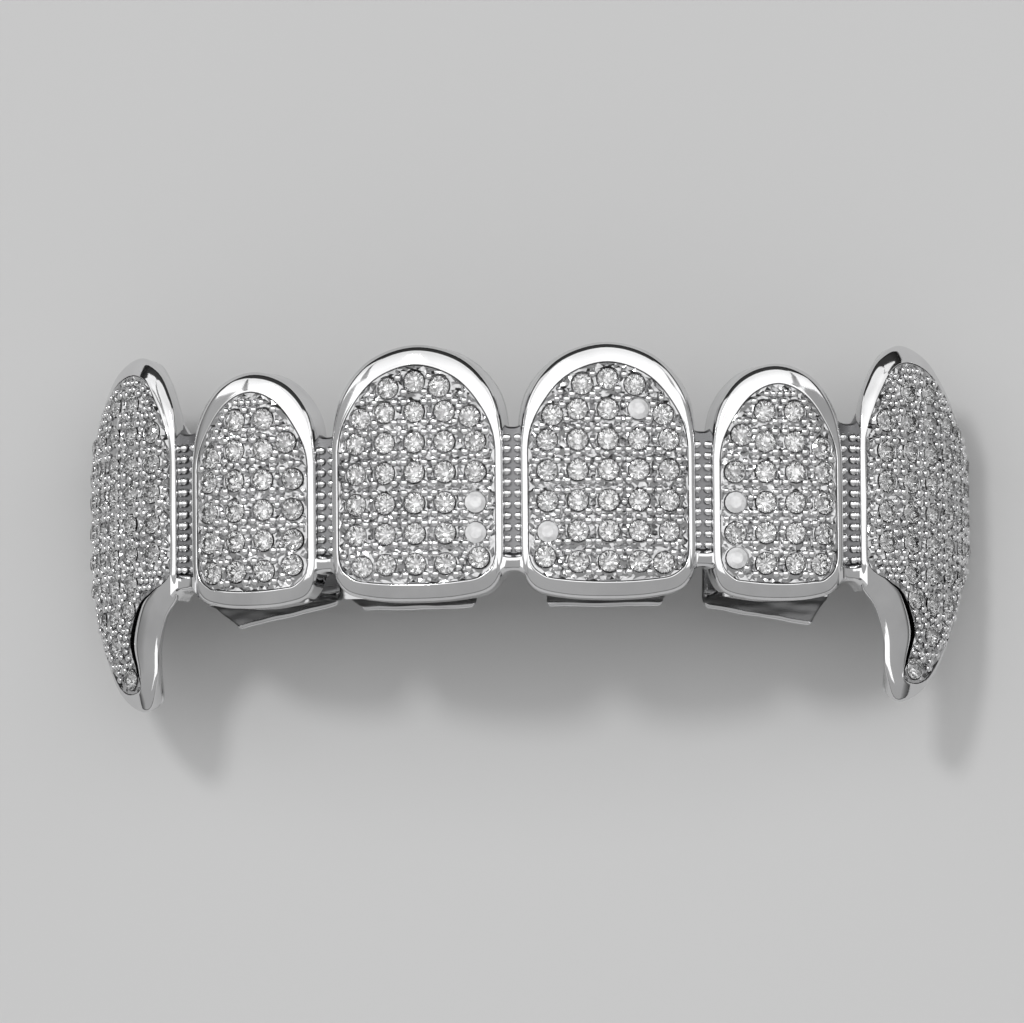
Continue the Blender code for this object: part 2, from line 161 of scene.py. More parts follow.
def outline(cap, share=0.0, inset=0.0, depth=0.0, deep=0.0, lean=0.0, slit=0.0):
    """The cap's outline as a smooth loop, moved inwards by a share of its rim and by an inset. It lies depth
    below the rim, and deep is how much of the way from there to the wall's back edge it goes. With a lean it
    follows the slope of the rim's face, and with a slit it opens the gap beside a fang's band."""
    rows = cap.outline
    places = [Vector((p.across * cap.across, p.up * cap.height, 0)) for p in rows]
    moved = []
    for i, row in enumerate(rows):
        ahead = places[(i + 1) % len(rows)] - places[i - 1]
        inwards = Vector((-ahead.y, ahead.x, 0)).normalized()
        width = RIM_SIDE + row.crown * (RIM_CROWN - RIM_SIDE) + row.foot * (cap.foot_rim - RIM_SIDE)
        rounded = min(ROUNDED * width, ROUND_MOST)
        face = max(share - ROUNDED, 0) / (1 - ROUNDED)
        reach = min(share / ROUNDED, 1) * rounded + face * (width - rounded)
        steep = lean * (1 + row.crown * FANG_LEAN / RIM_LEAN * (cap.name == "fang"))
        fallen = depth + steep * (width - reach)
        down = fallen + deep * (WALL_DEPTH * row.deep - fallen)
        flared = row.flare * WALL_FLARE * down / WALL_DEPTH * (1 - share)
        place = places[i] + inwards * (reach + inset + slit * row.slit - flared)
        moved.append(Vector((place.x, place.y, -down)))
    left, right = min(p.x for p in moved), max(p.x for p in moved)
    loop = []
    for i in range(len(moved)):
        before, start, end, after = (moved[(i + k) % len(moved)] for k in (-1, 0, 1, 2))
        for step in range(LOOP_STEPS):
            t = step / LOOP_STEPS
            place = 0.5 * (2 * start + (end - before) * t + (2 * before - 5 * start + 4 * end - after) * t**2
                           + (3 * start - before - 3 * end + after) * t**3)
            place.x = min(max(place.x, left), right)
            loop.append(place)
    return loop


def shell_rings(cap):
    """Loops over the cap: pocket floor, pocket wall, back edge, outer wall, round, rim face and seat."""
    def lifted(loop, rise):
        return [point + Vector((0, 0, rise)) for point in loop]

    arcs = [math.pi / 2 * step / ROUND_STEPS for step in range(ROUND_STEPS + 1)]
    rings = [outline(cap, 0, WALL, RECESS + SKIN + RIM_ARRIS), outline(cap, 0, WALL, deep=POCKET_BELT)]
    for arc in arcs[1:]:
        edge = outline(cap, 0, WALL / 2 * (1 + math.cos(arc)), deep=1)
        rings.append(lifted(edge, WALL / 2 * (1 - math.sin(arc))))
    for arc in arcs[1:]:
        edge = outline(cap, 0, WALL / 2 * (1 - math.sin(arc)), deep=1)
        rings.append(lifted(edge, WALL / 2 * (1 - math.cos(arc))))
    rings += [outline(cap, 0, 0, RIM_DROP, share, RIM_LEAN) for share in WALL_BELTS]
    for arc in arcs:
        drop = RIM_DROP * (1 - math.sin(arc))
        rings.append(outline(cap, ROUNDED * (1 - math.cos(arc)), 0, drop, 0, RIM_LEAN))
    for step in range(1, ROUND_STEPS):
        t = step / ROUND_STEPS
        bulge = RIM_CROWNING * 4 * t * (1 - t)
        rings.append(outline(cap, ROUNDED + (1 - ROUNDED) * t, 0, -bulge, 0, RIM_LEAN))
    for arc in arcs[::2]:
        rings.append(outline(cap, 1, RIM_ARRIS * (math.sin(arc) - 1), RIM_ARRIS * (1 - math.cos(arc))))
    rings.append(outline(cap, 1, 0, RECESS))
    return rings


def loft(rings, closed=True):
    bm = bmesh.new()
    made = [[bm.verts.new(point) for point in ring] for ring in rings]
    for low, high in zip(made, made[1:]):
        for i in range(len(low)):
            j = (i + 1) % len(low)
            bm.faces.new((low[i], low[j], high[j], high[i]))
    if closed:
        bm.faces.new(list(reversed(made[0])))
        bm.faces.new(made[-1])
    bmesh.ops.recalc_face_normals(bm, faces=bm.faces)
    return bm


def cut_floors(bm, width):
    """Cuts the big flat faces into strips, so that they can bend."""
    span = max(abs(v.co.x) for v in bm.verts)
    for i in range(-int(span / width), int(span / width) + 1):
        floors = [f for f in bm.faces if len(f.verts) > 4 and abs(f.normal.z) > LEVEL]
        edges, corners = {e for f in floors for e in f.edges}, {v for f in floors for v in f.verts}
        bmesh.ops.bisect_plane(bm, geom=floors + list(edges) + list(corners), dist=1e-8,
                               plane_co=(i * width, 0, 0), plane_no=(1, 0, 0))


def finished(bm, name, material):
    """Makes an object of the mesh, shaded smooth up to its sharp edges."""
    mesh = bpy.data.meshes.new(name)
    bm.to_mesh(mesh)
    bm.free()
    mesh.shade_smooth()
    mesh.set_sharp_from_angle(angle=SHARP)
    mesh.materials.append(material)
    piece = bpy.data.objects.new(name, mesh)
    bpy.context.scene.collection.objects.link(piece)
    return piece


class Term:
    """A number that a shader node gives. Arithmetic on it adds Math nodes."""

    def __init__(self, graph, socket):
        self.graph, self.socket = graph, socket

    def _math(self, operation, first, second):
        return self.graph.node("ShaderNodeMath", {"operation": operation}, {0: first, 1: second})

    def __add__(self, other):
        return self._math("ADD", self, other)

    def __radd__(self, other):
        return self._math("ADD", other, self)

    def __mul__(self, other):
        return self._math("MULTIPLY", self, other)

    def __rmul__(self, other):
        return self._math("MULTIPLY", other, self)


class Graph:
    """The node tree of a material, or of the surround."""

    def __init__(self, tree):
        self.tree = tree

    def node(self, kind, settings=None, inputs=None, output=0):
        made = self.tree.nodes.new(kind)
        for word, value in (settings or {}).items():
            if word == "stops":
                for stop in range(2, len(value)):
                    made.color_ramp.elements.new(stop / len(value))
                for element, (place, colour) in zip(made.color_ramp.elements, value):
                    element.position, element.color = place, (*colour, 1)
            else:
                setattr(made, word, value)
        for socket, value in (inputs or {}).items():
            self.feed(made.inputs[socket], value)
        return Term(self, made.outputs[output])

    def feed(self, socket, value):
        if isinstance(value, Term):
            self.tree.links.new(value.socket, socket)
        else:
            socket.default_value = value


class Finish(Graph):
    """A material's graph round its Principled shader."""

    def __init__(self, name, **steady):
        self.material = bpy.data.materials.new(name)
        self.material.use_nodes = True
        super().__init__(self.material.node_tree)
        self.shader = self.tree.nodes["Principled BSDF"]
        for words, value in steady.items():
            self.shader.inputs[words.replace("_", " ")].default_value = value

    def into(self, word, value):
        self.feed(self.shader.inputs[word], value)


def mirror_finish(name, colour, least_rough, haze, waves=0.05, edge=1.0):
    """Polished plating: hairlines left by the buff, faint swirls, and a little haze where it was touched."""
    finish = Finish(name, Metallic=1.0, Specular_Tint=(edge, edge, edge, 1))
    place = finish.node("ShaderNodeTexCoord", output=3)
    drawn = finish.node("ShaderNodeMapping", inputs={0: place, "Scale": HAIR_STRETCH})
    hairs = finish.node("ShaderNodeTexNoise", inputs={"Vector": drawn, "Scale": HAIRS, "Detail": 3})
    cloud = finish.node("ShaderNodeTexNoise", inputs={"Vector": place, "Scale": CLOUDS, "Detail": 4})
    ripple = finish.node("ShaderNodeTexNoise", inputs={"Vector": place, "Scale": RIPPLES, "Detail": 1})
    finish.into("Roughness", least_rough + haze * cloud * hairs)
    stops = ((TARNISH_FROM, tuple(TARNISH * c for c in colour)), (TARNISH_TO, colour))
    finish.into("Base Color", finish.node("ShaderNodeValToRGB", {"stops": stops}, {0: cloud}))
    height = ripple + HAIR_RELIEF * hairs
    finish.into("Normal", finish.node("ShaderNodeBump", inputs={
        "Strength": waves, "Distance": RELIEF, "Height": height}))
    return finish.material


cap_metal = mirror_finish("polished_white_metal", MIRROR, 0.03, 0.16)
# A rougher copy of the polished metal, painted dark as shade in the seats and the recesses.
sheltered_metal = mirror_finish("sheltered_metal", RECESS_SHADE_COLOUR, 0.2, 0.4)
caps = arch()
seat = Vector()
raw = [bent(cap, side, point)
       for cap in caps for side in (-1, 1) for ring in shell_rings(cap) for point in ring]
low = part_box("cast_frame")[0]
seat = Vector((0, low.y - min(p.y for p in raw), low.z - min(p.z for p in raw)))

for side, word in ((-1, "left"), (1, "right")):
    for cap in caps:
        rings = shell_rings(cap)
        bm = loft(rings)
        bm.faces.ensure_lookup_table()
        # The seat's walls and floor, seen through the gap round the plate, get the painted shade.
        for face in bm.faces[(len(rings) - 2) * len(rings[0]):]:
            in_shaded_seat = abs(face.normal.z) < LEVEL or face.calc_center_median().z > -RECESS - SKIN / 2
            face.material_index = int(in_shaded_seat)
        cut_floors(bm, FLOOR_STRIP)
        for vert in bm.verts:
            vert.co = bent(cap, side, vert.co)
        if side < 0:
            bmesh.ops.reverse_faces(bm, faces=bm.faces)
        piece = finished(bm, f"cap_{cap.name}_{word}", cap_metal)
        piece.data.materials.append(sheltered_metal)
        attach(piece, "root")
        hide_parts("cast_frame")

# The hooks
# Four thin straps of the same casting that go under the middle teeth and up their backs. They are a little
# hollow underneath, up to a bead along the heel, which is the bright edge that shows below the caps.
# Their metal is a darker copy of the caps' polished metal, which is painted shade; the bead keeps the caps'
# metal.
Hook = namedtuple("Hook", "cap side wide deep near_foot far_foot shift")
HOOKS = (
    Hook(0, -1, 0.0060, 0.0068, 0.00005, 0.00005, 0.0011),
    Hook(0, 1, 0.0060, 0.0068, 0.00005, 0.00005, 0.0),
    Hook(1, -1, 0.0057, 0.0058, 0.00040, -0.00070, 0.0),
    Hook(1, 1, 0.0057, 0.0058, 0.00000, -0.00095, 0.0),
)
HOOK_THICK, HOOK_LIP, HOOK_ROUND, HOOK_START = 0.0006, 0.0028, 0.0007, 0.00025
HOOK_EDGE = 0.00024  # the small round along its sides
HOOK_EDGE_TURNS = (0, 0.35, 0.7)  # its columns, in quarter turns
HOOK_BEAD = 0.00018  # how far the bead stands out, and its round
HOLLOW_RAMP = 3  # the hollow has its full depth after one part in this many
BEAD_FACES = slice(ROUND_STEPS * 2, ROUND_STEPS * 2 + 9)  # the faces of a section along the bead, which keep the caps' polished metal
HOOK_COLUMNS = 24
# Darker than the caps' metal, and darker still at glancing angles: painted shade on the straps.
HOOK_SHADED_COLOUR = (0.50, 0.50, 0.505)
HOOK_ROUGH, HOOK_HAZE, HOOK_RIPPLE, HOOK_GLANCE_SHADE = 0.04, 0.4, 0.8, 0.15
HOOK_UNEVEN, HOOK_WAVE = 0.00007, 0.0011  # how far its cast skin is out of true, and over what length
HOOK_SEED = 5


def hook_section(hook, foot, pinch):
    """The strap's profile in its own plane, out and up, drawn in by pinch where its side is rounded."""
    back, front, heel = -hook.deep, -RECESS - SKIN / 2, HOOK_ROUND - hook.deep
    arcs = [math.pi / 2 * step / ROUND_STEPS for step in range(ROUND_STEPS + 1)]
    outer, hollow = [(front, HOOK_START)], [0.0]
    for step in range(1, ROUND_STEPS * 2):
        t = step / (ROUND_STEPS * 2)
        outer.append((front + (heel + HOOK_BEAD - front) * t, HOOK_START + (foot - HOOK_START) * t))
        hollow.append(HOOK_BEAD * min(1, HOLLOW_RAMP * t))
    for arc in arcs[:-1]:
        outer.append((heel + HOOK_BEAD * math.cos(arc), foot))
        hollow.append(HOOK_BEAD * (1 - math.sin(arc)))
    for arc in arcs:
        outer.append((back + HOOK_ROUND * (1 - math.sin(arc)), foot + HOOK_ROUND * (1 - math.cos(arc))))
    half, end = HOOK_THICK / 2, HOOK_LIP - HOOK_THICK / 2
    outer.append((back, end))
    tip = [(back + half * (1 - math.cos(arc)), end + half * math.sin(arc))
           for arc in (math.pi * step / ROUND_STEPS for step in range(1, ROUND_STEPS))]
    bend = HOOK_ROUND - half
    inner = [(front, HOOK_START + HOOK_THICK)]
    for arc in arcs:
        inner.append((back + HOOK_THICK + bend * (1 - math.sin(arc)),
                      foot + HOOK_THICK + bend * (1 - math.cos(arc))))
    inner.append((back + HOOK_THICK, end))
    loop = outer + tip + inner[::-1]
    hollow += [0.0] * (len(loop) - len(hollow))
    drawn = []
    for i, (out, up) in enumerate(loop):
        before, after = loop[i - 1], loop[(i + 1) % len(loop)]
        along = Vector((after[0] - before[0], after[1] - before[1])).normalized()
        drawn.append((out + along.y * pinch, up - along.x * pinch + hollow[i] * (1 - pinch / HOOK_EDGE)))
    return drawn


def hook_body(hook):
    cap = caps[hook.cap]
    bulge = cap.bend * (1 - math.cos(cap.across / 2 / cap.bend))
    sides = []
    for share in HOOK_EDGE_TURNS:
        arc = math.pi / 2 * share
        sides.append((HOOK_EDGE * (1 - math.cos(arc)) - hook.wide / 2, HOOK_EDGE * (1 - math.sin(arc))))
    inner = hook.wide / 2 - HOOK_EDGE
    columns = sides + [(inner * (2 * step / HOOK_COLUMNS - 1), 0) for step in range(HOOK_COLUMNS + 1)]
    columns += [(-x, pinch) for x, pinch in reversed(sides)]
    rings = []
    for x, pinch in columns:
        foot = hook.near_foot + (hook.far_foot - hook.near_foot) * (x / hook.wide + 0.5)
        ring = hook_section(hook, foot, pinch)
        rings.append([turned(cap, hook.side, hook.shift + x, cap.foot + up, bulge + out) for out, up in ring])
    body = loft(rings)
    body.faces.ensure_lookup_table()
    for i in range(len(columns) - 1):
        for face in body.faces[i * len(ring):(i + 1) * len(ring)][BEAD_FACES]:
            face.material_index = 1
    noise.seed_set(HOOK_SEED)
    for vert in body.verts:
        vert.co += noise.noise_vector(vert.co / HOOK_WAVE) * HOOK_UNEVEN
    return body


# The straps' painted shade; the bead faces take the caps' metal.
shaded_hook_metal = mirror_finish("cast_metal", HOOK_SHADED_COLOUR, HOOK_ROUGH, HOOK_HAZE, HOOK_RIPPLE, HOOK_GLANCE_SHADE)
for hook in HOOKS:
    word = "left" if hook.side < 0 else "right"
    piece = finished(hook_body(hook), f"hook_{caps[hook.cap].name}_{word}", shaded_hook_metal)
    piece.data.materials.append(cap_metal)
    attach(piece, "root")
    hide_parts("cast_frame")

# The bridges
# Five bars soldered between the caps. Their fronts lie below the rims and carry fine beads. At the foot a
# plain web, filed smooth, runs into the rims on both sides.
# Their recessed faces between the beads are painted dark, as shade.
Bridge = namedtuple("Bridge", "name near far low high")
BRIDGES = (
    Bridge("centre", (0, -1, -1), (0, 1, -1), 0.00155, 0.0090),
    Bridge("inner_left", (0, -1, 1), (1, -1, -1), 0.00170, 0.0087),
    Bridge("inner_right", (0, 1, 1), (1, 1, -1), 0.00170, 0.0087),
    Bridge("outer_left", (1, -1, 1), (2, -1, -1), 0.00100, 0.0092),
    Bridge("outer_right", (1, 1, 1), (2, 1, -1), 0.00100, 0.0092),
)
BRIDGE_SINK, BRIDGE_WEB, WEB_SINK, WEB_SLOPE = 0.00070, 0.00060, 0.00020, 0.00030
BRIDGE_FLOOR = 0.00012  # how much deeper the face lies between its beads
BRIDGE_FACE = slice(3, 12)  # the points of a section that make the recessed face
BRIDGE_BITE = 0.00035
BRIDGE_COLUMNS = 14
WEB_ROUND, WEB_ROUND_MIDDLE, TOP_ROUND = 0.00022, (0.00012, 0.00006), (0.00010, 0.00008)
FILLET = 0.00045  # how much the web and the bar's top widen where they meet the caps
FILLET_OUT, FILLET_WEB, FILLET_FACE, FILLET_TOP = 0.45, 0.5, 0.4, 0.3  # shares of it in other directions
FACE_STEPS = 6
TOP_BELT, FOOT_BELT = 0.8, 0.55  # points on the bar's top and foot, in shares of the wall's depth


def bridge_place(bridge, share, up, out):
    """A point of the bar, share of the way from its one cap to its other."""
    ends = []
    for index, side, edge in (bridge.near, bridge.far):
        cap = caps[index]
        flares = [p.flare for p in cap.outline if p.across * edge == 0.5]
        flare = WALL_FLARE * sum(flares) / len(flares)
        across = edge * (cap.across / 2 - BRIDGE_BITE - flare * out / WALL_DEPTH)
        ends.append(bent(cap, side, (across, up - cap.foot, out)))
    return ends[0].lerp(ends[1], share)


def bridge_body(bridge):
    rings = []
    for step in range(BRIDGE_COLUMNS + 1):
        share = step / BRIDGE_COLUMNS
        swell = FILLET * abs(2 * share - 1) ** 3
        low, high = bridge.low - swell, bridge.high + swell
        rise = swell * FILLET_OUT
        web, web_top = rise - WEB_SINK, bridge.low + BRIDGE_WEB + swell * FILLET_WEB
        floor, face = -BRIDGE_SINK - BRIDGE_FLOOR, rise * FILLET_FACE - BRIDGE_SINK - BRIDGE_FLOOR
        start, end = web_top + WEB_SLOPE, high - TOP_ROUND[0]
        section = [(low + WEB_ROUND_MIDDLE[0], -WEB_SINK - WEB_ROUND_MIDDLE[1]), (low + WEB_ROUND, web),
                   (web_top, web), (web_top + WEB_SLOPE / 2, rise - (WEB_SINK + BRIDGE_SINK) / 2)]
        section += [(start + (end - start) * k / FACE_STEPS, face) for k in range(FACE_STEPS + 1)]
        section += [(high, floor - TOP_ROUND[1]), (high + swell * FILLET_TOP, -WALL_DEPTH * TOP_BELT),
                    (high, -WALL_DEPTH), (low, -WALL_DEPTH), (low, -WALL_DEPTH * FOOT_BELT),
                    (low, -WEB_SINK - WEB_ROUND)]
        rings.append([bridge_place(bridge, share, up, out) for up, out in section])
    body = loft(rings)
    body.faces.ensure_lookup_table()
    # The recessed face takes the painted shade.
    for i in range(BRIDGE_COLUMNS):
        for face in body.faces[i * len(section):(i + 1) * len(section)][BRIDGE_FACE]:
            face.material_index = 1
    return body


for bridge in BRIDGES:
    piece = finished(bridge_body(bridge), f"bridge_{bridge.name}", cap_metal)
    piece.data.materials.append(sheltered_metal)
    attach(piece, "root")
    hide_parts("cast_frame")

# The beads on the bridges
# Two columns of fine round grains raised on each bar. A Geometry Nodes tree sets one grain on each point
# and turns it to the face below.
GRAIN_ACROSS, GRAIN_PITCH, GRAIN_APART = 0.00045, 0.00058, 0.00056
GRAIN_START, GRAIN_END = 0.0011, 0.0002
BEAD_FLATNESS = 0.6  # the beading tool presses them flatter than a ball
BEAD_SPREAD = 0.06  # how much their widths differ
# Lighter than the caps' own metal: a painted highlight on the beads.
BEAD_LIT_COLOUR = (0.88, 0.88, 0.885)
TURN_SEED = 4


def setter(name, template, material):
    """A tree that puts the template on every point, turned to its facing, spun, tipped and sized."""
    tree = bpy.data.node_groups.new(name, "GeometryNodeTree")
    face = tree.interface
    face.new_socket("Geometry", in_out="INPUT", socket_type="NodeSocketGeometry")
    face.new_socket("Size", in_out="INPUT", socket_type="NodeSocketFloat")
    face.new_socket("Size spread", in_out="INPUT", socket_type="NodeSocketFloat")
    face.new_socket("Tip", in_out="INPUT", socket_type="NodeSocketFloat")
    face.new_socket("Spin", in_out="INPUT", socket_type="NodeSocketFloat")
    face.new_socket("Geometry", in_out="OUTPUT", socket_type="NodeSocketGeometry")

    def node(kind, inputs=None, **settings):
        made = tree.nodes.new(kind)
        for word, value in settings.items():
            setattr(made, word, value)
        for socket, value in (inputs or {}).items():
            if isinstance(value, bpy.types.NodeSocket):
                tree.links.new(value, made.inputs[socket])
            else:
                made.inputs[socket].default_value = value
        return made

    def spread(most, seed):
        """A chance number from minus most to most."""
        made = node("FunctionNodeRandomValue", data_type="FLOAT")
        active = [s for s in made.inputs if s.enabled]
        least = node("ShaderNodeMath", {0: most, 1: -1.0}, operation="MULTIPLY")
        tree.links.new(least.outputs[0], active[0])
        tree.links.new(most, active[1])
        active[-1].default_value = seed
        return [s for s in made.outputs if s.enabled][0]

    given = node("NodeGroupInput")
    facing = node("GeometryNodeInputNamedAttribute", {"Name": "facing"}, data_type="FLOAT_VECTOR")
    upright = node("FunctionNodeAlignRotationToVector", {"Vector": facing.outputs[0]}, axis="Z")
    parts = node("ShaderNodeCombineXYZ", {
        "X": spread(given.outputs["Tip"], TURN_SEED), "Y": spread(given.outputs["Tip"], TURN_SEED + 1),
        "Z": spread(given.outputs["Spin"], TURN_SEED + 2)})
    as_turn = node("FunctionNodeEulerToRotation", {0: parts.outputs[0]})
    turn = node("FunctionNodeRotateRotation", {0: upright.outputs[0], 1: as_turn.outputs[0]},
                rotation_space="LOCAL")
    more = spread(given.outputs["Size spread"], TURN_SEED + 3)
    size = node("ShaderNodeMath", {0: given.outputs["Size"], 1: more})
    source = node("GeometryNodeObjectInfo", {"Object": template})
    set_on = node("GeometryNodeInstanceOnPoints", {
        "Points": given.outputs["Geometry"], "Instance": source.outputs["Geometry"],
        "Rotation": turn.outputs[0], "Scale": size.outputs[0]})
    real = node("GeometryNodeRealizeInstances", {0: set_on.outputs[0]})
    coated = node("GeometryNodeSetMaterial", {"Geometry": real.outputs[0], "Material": material})
    node("NodeGroupOutput", {0: coated.outputs[0]})
    return tree


def set_pieces(name, tree, places, size, size_spread=0.0, tip=0.0, spin=math.pi, smooth=True):
    """Runs a setter over places of (point, facing, tone) and returns the finished plain mesh as an object."""
    points = bpy.data.meshes.new(name + "_points")
    points.from_pydata([point for point, _, _ in places], [], [])
    points.attributes.new("facing", "FLOAT_VECTOR", "POINT")
    points.attributes.new("tone", "FLOAT", "POINT")
    for i, (_, way, value) in enumerate(places):
        points.attributes["facing"].data[i].vector = way
        points.attributes["tone"].data[i].value = value
    holder = bpy.data.objects.new(name + "_points", points)
    bpy.context.scene.collection.objects.link(holder)
    setting = holder.modifiers.new("set", "NODES")
    setting.node_group = tree
    wanted = {"Size": size, "Size spread": size_spread, "Tip": tip, "Spin": spin}
    for item in tree.interface.items_tree:
        if item.in_out == "INPUT" and item.name in wanted:
            setting[item.identifier] = float(wanted[item.name])
    mesh = bpy.data.meshes.new_from_object(holder.evaluated_get(bpy.context.evaluated_depsgraph_get()))
    mesh.name = name
    bpy.data.objects.remove(holder)
    if smooth:
        mesh.shade_smooth()
    else:
        mesh.shade_flat()
    piece = bpy.data.objects.new(name, mesh)
    bpy.context.scene.collection.objects.link(piece)
    return piece


def template_of(bm, name, material):
    mesh = bpy.data.meshes.new(name)
    bm.to_mesh(mesh)
    bm.free()
    mesh.materials.append(material)
    made = bpy.data.objects.new(name, mesh)
    bpy.context.scene.collection.objects.link(made)
    return made


bead = bmesh.new()
bmesh.ops.create_uvsphere(bead, u_segments=10, v_segments=8, radius=0.5)
bmesh.ops.scale(bead, vec=(1, 1, BEAD_FLATNESS), verts=bead.verts)
# The beads' metal is painted lighter than the caps', as a painted highlight.
bead_metal = mirror_finish("bead_metal", BEAD_LIT_COLOUR, 0.03, 0.1)
bead_template = template_of(bead, "bead", bead_metal)
bead_setter = setter("set beads", bead_template, bead_metal)
for bridge in BRIDGES:
    places = []
    up = bridge.low + GRAIN_START
    while up < bridge.high - GRAIN_END:
        across = [bridge_place(bridge, share, up, -BRIDGE_SINK) for share in (0, 1)]
        way = (across[1] - across[0]).normalized()
        middle = across[0].lerp(across[1], 0.5)
        out = way.cross(Vector((0, 1, 0)))
        out = out if out.z > 0 else -out
        for column in (-0.5, 0.5):
            places.append((middle + way * column * GRAIN_APART, out, 1.0))
        up += GRAIN_PITCH
    spread = GRAIN_ACROSS * BEAD_SPREAD
    piece = set_pieces(f"bridge_beads_{bridge.name}", bead_setter, places, GRAIN_ACROSS, spread)
    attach(piece, "root")
    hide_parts("cast_frame")

# The plates
# Six domed plates of the same metal, pressed into the seats of the caps. A seat is drilled for each stone,
# and the metal between is cut bright with a graver, row by row.
PLATE_GAP, PLATE_SINK, DOME = 0.00012, 0.00012, 0.00035
PLATE_SHOWN_GAP = 0.00003  # what is left of the gap once the plate is pressed in
STONE_ACROSS, STONE_PITCH, ROW_START = 0.00110, 0.00158, 0.00030
STONE_HIGH, STONE_EDGE = 0.00022, 0.00005
EDGE_SPACING, EDGE_TRIES = 0.80, 8
SEAT_SIDES = 20
SEAT_RINGS = ((0.42, -0.00016), (0.50, -0.00002), (0.55, 0.00002), (0.60, 0.0))  # (radius, height)
SEAT_DEPTH = 0.42  # in stone widths, as the radii of the rings are
GRAVER_GRID = 0.00015
GRAVER_LINE, GRAVER_CUT, GRAVER_STRAY = 0.00003, 0.00006, 0.00004  # line height, cut height, stray
GRAVER_LINES = 3  # lines between two rows of stones
RECESS_DEPTH, RECESS_SPREAD = 0.00014, 0.22  # the hollow between rows, and its spread in stone widths
GRAVER_SEED = 7
PROBE = 0.0001  # how far apart a plate is felt to find the way it faces
# Darker than the caps' metal: painted shade on the recessed plates.
PLATE_SHADED_COLOUR = (0.56, 0.56, 0.565)


def domed(cap, point):
    across, up = 2 * point[0] / cap.across, 2 * point[1] / cap.height - 1
    return Vector((point[0], point[1], point[2] + DOME * (max(0.0, 1 - across ** 2) * max(0.0, 1 - up ** 2))))


def inside(place, loop):
    crossings = 0
    for a, b in zip(loop, loop[1:] + loop[:1]):
        if (a.y > place.y) != (b.y > place.y):
            crossings += place.x < a.x + (place.y - a.y) / (b.y - a.y) * (b.x - a.x)
    return crossings % 2 == 1


def clearance(place, loop):
    """How far a place lies inside a loop, and below zero outside it."""
    near = 1.0
    for a, b in zip(loop, loop[1:] + loop[:1]):
        _, share = geometry.intersect_point_line(place, a, b)
        near = min(near, (a.lerp(b, min(max(share, 0), 1)) - place).length)
    return near if inside(place, loop) else -near


def flat(loop):
    return [Vector((p.x, p.y, 0)) for p in loop]


def stone_places(cap):
    """Centres of the stones: a square grid, then stones along the plate's edge where there is still room."""
    reach = STONE_ACROSS / 2 + STONE_EDGE
    every = LOOP_STEPS // 2
    edge = flat(outline(cap, 1, PLATE_GAP))[::every]
    room = flat(outline(cap, 1, PLATE_GAP + reach))[::every]
    free = cap.across - 2 * (RIM_SIDE + PLATE_GAP + STONE_EDGE) - STONE_ACROSS
    columns = 1 + int(free / STONE_PITCH)
    lowest, highest = min(p.y for p in room), max(p.y for p in room)
    rows = 1 + int((highest - lowest - ROW_START) / STONE_PITCH)
    grid = [Vector(((c - (columns - 1) / 2) * STONE_PITCH, lowest + ROW_START + STONE_PITCH * r, 0))
            for r in range(rows) for c in range(columns)]
    found = [place for place in grid if clearance(place, edge) >= reach]
    tries = flat(outline(cap, 1, PLATE_GAP + reach + STONE_EDGE))[::every]
    for i in range(len(tries) * EDGE_TRIES):
        near, far = tries[i // EDGE_TRIES], tries[(i // EDGE_TRIES + 1) % len(tries)]
        at = near.lerp(far, i % EDGE_TRIES / EDGE_TRIES)
        apart = all((at - other).length > STONE_PITCH * EDGE_SPACING for other in found)
        if apart and clearance(at, edge) >= reach:
            found.append(at)
    return found


